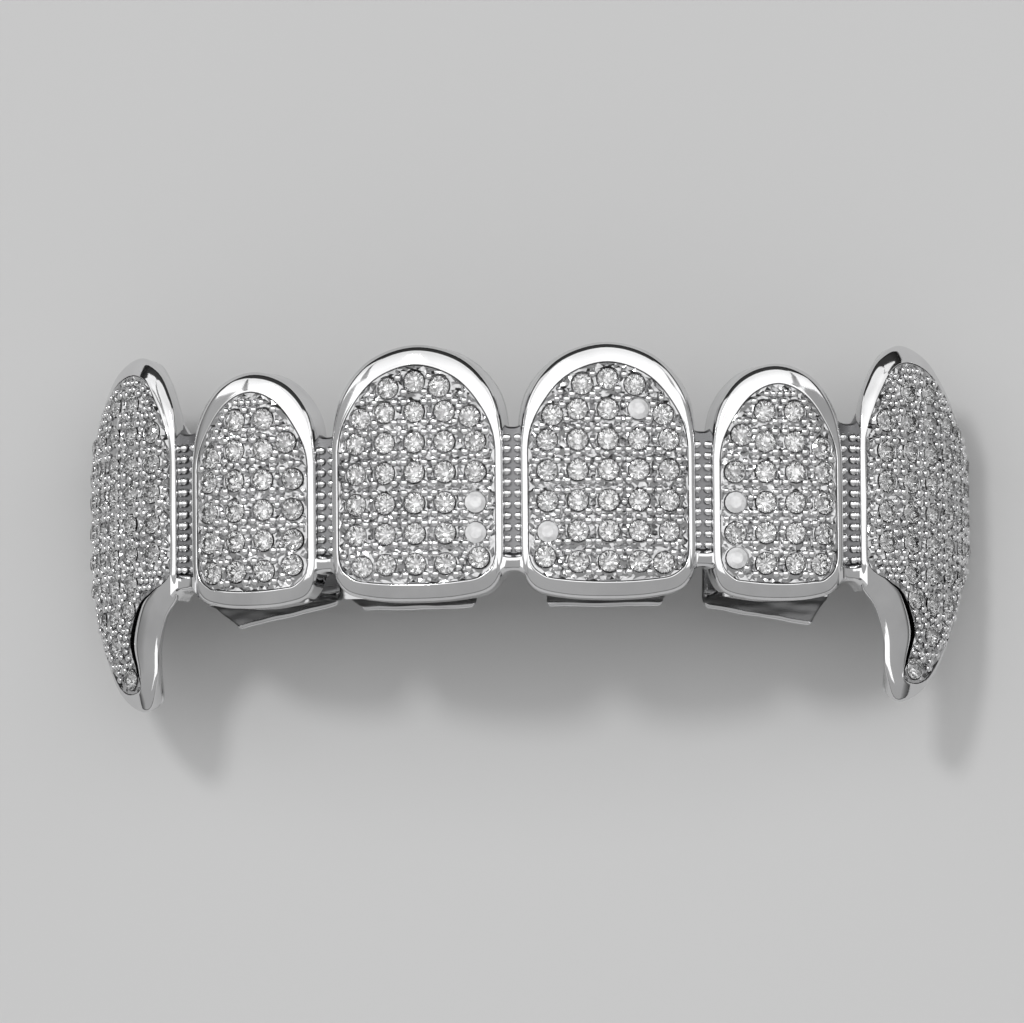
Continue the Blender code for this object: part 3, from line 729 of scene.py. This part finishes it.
def plate_body(cap, stones):
    """The plate, flat. Its top is triangulated through the rings of the seats and the graver's grid."""
    edge = outline(cap, 1, PLATE_SHOWN_GAP, slit=FANG_SLIT)[::2]
    rim = flat(edge)
    points, heights = list(rim), [-PLATE_SINK] * len(rim)
    for stone in stones:
        points.append(stone)
        heights.append(-PLATE_SINK - STONE_ACROSS * SEAT_DEPTH)
        for radius, height in SEAT_RINGS:
            for i in range(SEAT_SIDES):
                arc = 2 * math.pi * i / SEAT_SIDES
                at = stone + Vector((math.cos(arc), math.sin(arc), 0)) * radius * STONE_ACROSS
                if clearance(at, rim) > GRAVER_STRAY:
                    points.append(at)
                    heights.append(-PLATE_SINK + height)
    left, right = min(p.x for p in rim), max(p.x for p in rim)
    bottom, top = min(p.y for p in rim), max(p.y for p in rim)
    outermost = SEAT_RINGS[-1][0] * STONE_ACROSS
    hand = random.Random(GRAVER_SEED)
    for i in range(int((right - left) / GRAVER_GRID)):
        for j in range(int((top - bottom) / GRAVER_GRID)):
            stray = Vector((hand.uniform(-1, 1), hand.uniform(-1, 1), 0)) * GRAVER_STRAY
            cut = hand.uniform(-1, 1) * GRAVER_CUT
            at = Vector((left + (i + 0.5) * GRAVER_GRID, bottom + (j + 0.5) * GRAVER_GRID, 0)) + stray
            near = min(stones, key=lambda stone: (stone - at).length_squared)
            if (near - at).length < outermost + GRAVER_GRID / 3 or clearance(at, rim) < GRAVER_GRID / 3:
                continue
            away = at - near
            line = math.cos(2 * math.pi * away.y / STONE_PITCH * GRAVER_LINES)
            between = math.exp(-(away.y / (RECESS_SPREAD * STONE_ACROSS)) ** 2)
            points.append(at)
            heights.append(-PLATE_SINK + GRAVER_LINE * line + cut - RECESS_DEPTH * between)
    made = geometry.delaunay_2d_cdt([p.to_2d() for p in points], [], [list(range(len(rim)))], 1, 1e-9)
    bm = bmesh.new()
    verts = [bm.verts.new((at.x, at.y, heights[came[0]] if came else -PLATE_SINK))
             for at, came in zip(made[0], made[3])]
    for face in made[2]:
        bm.faces.new([verts[i] for i in face])
    bmesh.ops.recalc_face_normals(bm, faces=bm.faces)
    if sum(f.normal.z for f in bm.faces) < 0:
        bmesh.ops.reverse_faces(bm, faces=bm.faces)
    skirts = [e for e in bm.edges if e.is_boundary]
    sides = bmesh.ops.extrude_edge_only(bm, edges=skirts)["geom"]
    for vert in [v for v in sides if isinstance(v, bmesh.types.BMVert)]:
        vert.co.z = -RECESS + PLATE_GAP
    bmesh.ops.contextual_create(bm, geom=[e for e in bm.edges if e.is_boundary])
    bmesh.ops.recalc_face_normals(bm, faces=bm.faces)
    return bm


def put(cap, side, place, out):
    """A point of a plate at a flat place, out above the plate's edge, and the way the plate faces there."""
    here = [bent(cap, side, domed(cap, (place.x + dx, place.y + dy, out)))
            for dx, dy in ((0, 0), (PROBE, 0), (0, PROBE))]
    way = (here[1] - here[0]).cross(here[2] - here[0]).normalized() * side
    return here[0], way


# The plates' metal carries painted shade, darker than the caps'.
plate_shaded_metal = mirror_finish("bright_cut_metal", PLATE_SHADED_COLOUR, 0.06, 0.25)
all_stones = {cap.name: stone_places(cap) for cap in caps}
for cap in caps:
    for side, word in ((-1, "left"), (1, "right")):
        bm = plate_body(cap, all_stones[cap.name])
        for vert in bm.verts:
            top = vert.co.z > -RECESS + PLATE_GAP + 1e-6
            vert.co = bent(cap, side, domed(cap, vert.co) if top else vert.co)
        if side < 0:
            bmesh.ops.reverse_faces(bm, faces=bm.faces)
        piece = finished(bm, f"plate_{cap.name}_{word}", plate_shaded_metal)
        piece.data.shade_flat()
        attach(piece, "root")
        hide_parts(f"pave_{cap.name}_{word}")

# The prong beads
# Each stone is held by four beads raised from the plate at its corners, so four of them meet between four
# stones. Smaller grains fill what is left of the plate along its edge.
PRONG_ACROSS, PRONG_REACH, PRONG_HEIGHT = 0.00042, 0.00075, 0.00008
PRONG_APART, PRONG_OFF_STONE, PRONG_OFF_EDGE = 0.8, 0.35, 0.4  # in prong widths
FILL_ACROSS, FILL_GRID = 0.00034, 0.00036
FILL_APART, FILL_OFF_STONE, FILL_OFF_EDGE = 0.9, 0.97, 0.5
PRONG_SPREAD = 0.08  # how much the widths differ


def bead_places(cap, stones):
    """Flat places of prong beads and of filling grains."""
    edge = flat(outline(cap, 1, PLATE_GAP))[::LOOP_STEPS // 2]
    prongs, grains = [], []
    for stone in stones:
        for quarter in range(4):
            arc = math.pi / 4 + math.pi / 2 * quarter
            at = stone + Vector((math.cos(arc), math.sin(arc), 0)) * PRONG_REACH
            free = all((at - other).length > PRONG_ACROSS * PRONG_APART for other in prongs)
            least = STONE_ACROSS / 2 + PRONG_ACROSS * PRONG_OFF_STONE
            off = all((at - other).length > least for other in stones)
            if free and off and clearance(at, edge) > PRONG_ACROSS * PRONG_OFF_EDGE:
                prongs.append(at)
    xs, ys = [p.x for p in edge], [p.y for p in edge]
    for j in range(int((max(ys) - min(ys)) / FILL_GRID) + 1):
        for i in range(int((max(xs) - min(xs)) / FILL_GRID) + 1):
            at = Vector((min(xs) + (i + 0.5 * (j % 2)) * FILL_GRID, min(ys) + j * FILL_GRID, 0))
            least = (PRONG_ACROSS + FILL_ACROSS) / 2 * FILL_APART
            free = all((at - other).length > least for other in prongs)
            least = (STONE_ACROSS + FILL_ACROSS) / 2 * FILL_OFF_STONE
            off = all((at - other).length > least for other in stones)
            if free and off and clearance(at, edge) > FILL_ACROSS * FILL_OFF_EDGE:
                grains.append(at)
    return prongs, grains


all_beads = {cap.name: bead_places(cap, all_stones[cap.name]) for cap in caps}
for cap in caps:
    for side, word in ((-1, "left"), (1, "right")):
        widths = (PRONG_ACROSS, FILL_ACROSS)
        for kind, places, across in zip(("prongs", "grains"), all_beads[cap.name], widths):
            spots = [(*put(cap, side, place, -PLATE_SINK + PRONG_HEIGHT), 1.0) for place in places]
            spread = across * PRONG_SPREAD
            piece = set_pieces(f"{kind}_{cap.name}_{word}", bead_setter, spots, across, spread)
            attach(piece, "root")
            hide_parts(f"pave_{cap.name}_{word}")

# The stones
# Round brilliants of clear zirconia with a flat table, on bright foil. Each is turned its own way in its
# seat, so that no two throw the light alike. A few at listed spots are plain white: painted highlights.
TABLE, CROWN, GIRDLE, PAVILION = 0.56, 0.17, 0.02, 0.42  # in stone widths
WAIST, WAIST_DEPTH = 0.27, 0.25  # where the pavilion's mains meet its halves
STAR_REACH, STAR_SINK = 0.55, 0.98
FOIL_ACROSS, FOIL_OFF = 0.508, (0.004, 0.008, 0.012)  # how far it lies off the edge, the waist and the culet
FOIL_DULL, FOIL_BRIGHT = (0.55, 0.55, 0.56), (0.97, 0.97, 0.98)
STONE_TIP = math.radians(4)
TONE_SEED = 11
Spot = namedtuple("Spot", "cap side column row")  # in pitches, from the plate's middle and its foot row
# The stones drawn opaque white, as painted highlights where light catches their tables.
PAINTED_GLINT_SPOTS = (
    Spot("central", -1, -2, 2), Spot("central", -1, -2, 1), Spot("central", 1, -2, 1),
    Spot("central", 1, 1, 5), Spot("lateral", 1, -1.5, 2), Spot("lateral", 1, -1.5, 0),
)
SAME_SPOT = 0.4  # how near a stone has to be
# The painted highlight's white, clouded a little.
GLINT_PAINT_CLOUDS = 2600
GLINT_PAINT_COLOURS = ((0.35, (0.74, 0.74, 0.745)), (0.65, (0.93, 0.93, 0.935)))


def ring_of(bm, count, radius, height, shift=0.0):
    turns = [2 * math.pi * (i + shift) / count for i in range(count)]
    return [bm.verts.new((radius * math.cos(turn), radius * math.sin(turn), height)) for turn in turns]


def brilliant():
    """A round brilliant one unit across: table, stars, mains and upper halves over a plain girdle, and
    mains and lower halves under it."""
    bm = bmesh.new()
    top = ring_of(bm, 8, TABLE / 2, CROWN)
    middle = TABLE / 2 + (0.5 - TABLE / 2) * STAR_REACH
    stars = ring_of(bm, 8, middle, CROWN * (1 - STAR_REACH) * STAR_SINK, 0.5)
    upper = ring_of(bm, 16, 0.5, 0)
    lower = ring_of(bm, 16, 0.5, -GIRDLE)
    culet = bm.verts.new((0, 0, -GIRDLE - PAVILION))
    bm.faces.new(top)
    for i in range(8):
        j = (i + 1) % 8
        bm.faces.new((top[j], top[i], stars[i]))
        bm.faces.new((top[j], stars[i], upper[2 * j], stars[j]))
        bm.faces.new((stars[i], upper[2 * i], upper[2 * i + 1]))
        bm.faces.new((stars[i], upper[2 * i + 1], upper[2 * j]))
    for i in range(16):
        j = (i + 1) % 16
        bm.faces.new((upper[i], lower[i], lower[j], upper[j]))
    waist = ring_of(bm, 8, WAIST, -GIRDLE - WAIST_DEPTH, 0.5)
    for i in range(8):
        j = (i + 1) % 8
        bm.faces.new((lower[2 * i], waist[i], lower[2 * i + 1]))
        bm.faces.new((lower[2 * i + 1], waist[i], lower[2 * j]))
        bm.faces.new((lower[2 * j], waist[i], culet, waist[j]))
    bmesh.ops.recalc_face_normals(bm, faces=bm.faces)
    return bm


gem = Finish("clear_stone", Roughness=0.0, IOR=2.15, Transmission_Weight=1.0)
stone_template = template_of(brilliant(), "brilliant", gem.material)
stone_setter = setter("set stones", stone_template, gem.material)


def foil_cup():
    """The bright foil pressed against a stone's pavilion: eight mains, and sixteen halves round them."""
    bm = bmesh.new()
    wide = ring_of(bm, 16, FOIL_ACROSS, -GIRDLE - FOIL_OFF[0])
    waist = ring_of(bm, 8, WAIST, -GIRDLE - FOIL_OFF[1] - WAIST_DEPTH, 0.5)
    culet = bm.verts.new((0, 0, -GIRDLE - FOIL_OFF[2] - PAVILION))
    for i in range(8):
        j = (i + 1) % 8
        bm.faces.new((wide[2 * i], wide[2 * i + 1], waist[i]))
        bm.faces.new((wide[2 * i + 1], wide[2 * j], waist[i]))
        bm.faces.new((waist[i], wide[2 * j], waist[j], culet))
    return bm


foil_finish = Finish("foil", Metallic=1.0, Roughness=0.04)
tone = foil_finish.node("ShaderNodeAttribute", {"attribute_name": "tone"}, output=2)
foil_finish.into("Base Color", foil_finish.node(
    "ShaderNodeValToRGB", {"stops": ((0.0, FOIL_DULL), (1.0, FOIL_BRIGHT))}, {0: tone}))
foil_template = template_of(foil_cup(), "foil", foil_finish.material)
foil_setter = setter("set foils", foil_template, foil_finish.material)
# A white, coated finish that paints a highlight over the whole stone.
glint_paint = Finish("milky_stone", Roughness=0.3, Coat_Weight=0.6, Coat_Roughness=0.05)
place = glint_paint.node("ShaderNodeTexCoord", output=3)
cloud = glint_paint.node("ShaderNodeTexNoise", inputs={"Vector": place, "Scale": GLINT_PAINT_CLOUDS})
glint_paint.into("Base Color", glint_paint.node("ShaderNodeValToRGB", {"stops": GLINT_PAINT_COLOURS}, {0: cloud}))
painted_glint_setter = setter("set milky stones", stone_template, glint_paint.material)


# Whether a stone is one of the painted highlights.
def is_painted_glint(cap, side, place, foot_row):
    column, row = place.x / STONE_PITCH, (place.y - foot_row) / STONE_PITCH
    return any(spot[:2] == (cap.name, side) and abs(column - spot.column) < SAME_SPOT
               and abs(row - spot.row) < SAME_SPOT for spot in PAINTED_GLINT_SPOTS)


dice = random.Random(TONE_SEED)
for cap in caps:
    for side, word in ((-1, "left"), (1, "right")):
        clear, milky = [], []
        foot_row = min(place.y for place in all_stones[cap.name])
        for place in all_stones[cap.name]:
            at, way = put(cap, side, place, -PLATE_SINK + STONE_HIGH)
            kept = milky if is_painted_glint(cap, side, place, foot_row) else clear
            kept.append((at - way * CROWN * STONE_ACROSS, way, dice.random()))
        kinds = [("stones", stone_setter, clear), ("foils", foil_setter, clear)]
        # The stones with painted highlights are set with the white finish.
        if milky:
            kinds.append(("milky", painted_glint_setter, milky))
        for kind, tree, spots in kinds:
            name = f"{kind}_{cap.name}_{word}"
            piece = set_pieces(name, tree, spots, STONE_ACROSS, 0, STONE_TIP, smooth=False)
            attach(piece, "root")
            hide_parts(f"pave_{cap.name}_{word}")
for template in (bead_template, stone_template, foil_template):
    bpy.data.objects.remove(template)

# The floor and the light
# A plain pale floor under the grill, a large soft box overhead towards the gum side, narrow and low boxes at
# the sides, a weak sun for the shadow, and a grey surround that is dark along the horizon.
FLOOR_SIZE = 1.6
FLOOR_GREY = 0.62
Box = namedtuple("Box", "name sideways upwards across tall")
BOXES = (
    Box("overhead", 0, 19, 2.35, 1.35),
    Box("strip_left", -45, 10, 0.25, 0.60),
    Box("strip_right", 45, 10, 0.25, 0.60),
    Box("low_left", -60, 48, 0.55, 0.45),
    Box("low_right", 60, 48, 0.55, 0.45),
)
BOX_GLOW, BOX_AWAY = 1.03, 1.4
SUN_STRENGTH, SUN_ANGLE, SUN_FROM = 0.7, math.radians(9), (-0.35, 0.45, 1.0)
SURROUND = ((0.36, (0.44,) * 3), (0.50, (0.05,) * 3))  # dark on the gum side
HORIZON = ((0.0, (0.12,) * 3), (0.28, (1.0,) * 3))

floor_mesh = bpy.data.meshes.new("floor")
ground = bmesh.new()
bmesh.ops.create_grid(ground, x_segments=8, y_segments=8, size=FLOOR_SIZE / 2)
ground.to_mesh(floor_mesh)
ground.free()
floor = bpy.data.objects.new("floor", floor_mesh)
bpy.context.scene.collection.objects.link(floor)
floor_finish = Finish("pale_floor", Roughness=0.9)
floor_finish.into("Base Color", (FLOOR_GREY, FLOOR_GREY, FLOOR_GREY, 1))
floor_mesh.materials.append(floor_finish.material)

for box in BOXES:
    lamp = bpy.data.lights.new(box.name, "AREA")
    lamp.shape = "RECTANGLE"
    lamp.size, lamp.size_y = box.across, box.tall
    lamp.energy = BOX_GLOW * math.pi * box.across * box.tall
    way = Vector((math.tan(math.radians(box.sideways)), math.tan(math.radians(box.upwards)), 1))
    way.normalize()
    holder = bpy.data.objects.new(box.name, lamp)
    holder.location = way * BOX_AWAY
    along = Vector((0, 1, 0)).cross(way).normalized()
    holder.rotation_euler = Matrix((along, way.cross(along), way)).transposed().to_euler()
    bpy.context.scene.collection.objects.link(holder)
sun = bpy.data.lights.new("sun", "SUN")
sun.energy, sun.angle = SUN_STRENGTH, SUN_ANGLE
sun_holder = bpy.data.objects.new("sun", sun)
sun_holder.rotation_euler = Vector(SUN_FROM).to_track_quat("Z", "Y").to_euler()
bpy.context.scene.collection.objects.link(sun_holder)

world = bpy.data.worlds.new("surround")
bpy.context.scene.world = world
world.use_nodes = True
sky = Graph(world.node_tree)
way = sky.node("ShaderNodeTexCoord")
gumwards, up = (sky.node("ShaderNodeSeparateXYZ", None, {0: way}, axis) for axis in (1, 2))
open_sky = sky.node("ShaderNodeValToRGB", {"stops": SURROUND}, {0: gumwards})
near_floor = sky.node("ShaderNodeValToRGB", {"stops": HORIZON}, {0: up})
both = sky.node("ShaderNodeMix", {"data_type": "RGBA", "blend_type": "MULTIPLY"},
                {0: 1.0, 6: open_sky, 7: near_floor}, 2)
sky.feed(world.node_tree.nodes["Background"].inputs["Color"], both)

# The camera
# It looks down at the grill as the photograph does, from a little to the right and slightly below its feet,
# through a long lens from well back, so that the fangs at the ends aren't drawn larger or smaller.
YAW, ELEVATION, ROLL = math.radians(4.5), math.radians(85), math.radians(0.5)
AWAY = 0.600
SENSOR = 36.0
FRAME_ACROSS, FRAME_TALL = 1024, 1023
PIXELS_PER_METRE = 19400
ORIGIN_PIXEL = (512.5, 599.0)  # where the middle of the two central caps' feet lies in the picture

right0 = Vector((math.cos(YAW), 0, -math.sin(YAW)))
level = Vector((math.sin(YAW), 0, math.cos(YAW)))
up0 = level * math.cos(ELEVATION) + Vector((0, math.sin(ELEVATION), 0))
back = level * math.sin(ELEVATION) - Vector((0, math.cos(ELEVATION), 0))
right_way = right0 * math.cos(ROLL) - up0 * math.sin(ROLL)
up_way = right0 * math.sin(ROLL) + up0 * math.cos(ROLL)
aim = (seat + right_way * (FRAME_ACROSS / 2 - ORIGIN_PIXEL[0]) / PIXELS_PER_METRE
       + up_way * (ORIGIN_PIXEL[1] - FRAME_TALL / 2) / PIXELS_PER_METRE)
lens = bpy.data.cameras.new("camera")
lens.sensor_width = SENSOR
lens.lens = SENSOR * PIXELS_PER_METRE * AWAY / FRAME_ACROSS
lens.clip_start, lens.clip_end = 0.01, 10
camera = bpy.data.objects.new("camera", lens)
bpy.context.scene.collection.objects.link(camera)
camera.matrix_world = Matrix((
    (right_way.x, up_way.x, back.x, 0), (right_way.y, up_way.y, back.y, 0),
    (right_way.z, up_way.z, back.z, 0), (0, 0, 0, 1)))
camera.matrix_world.translation = aim + back * AWAY
bpy.context.scene.camera = camera
bpy.context.scene.view_settings.view_transform = "Standard"
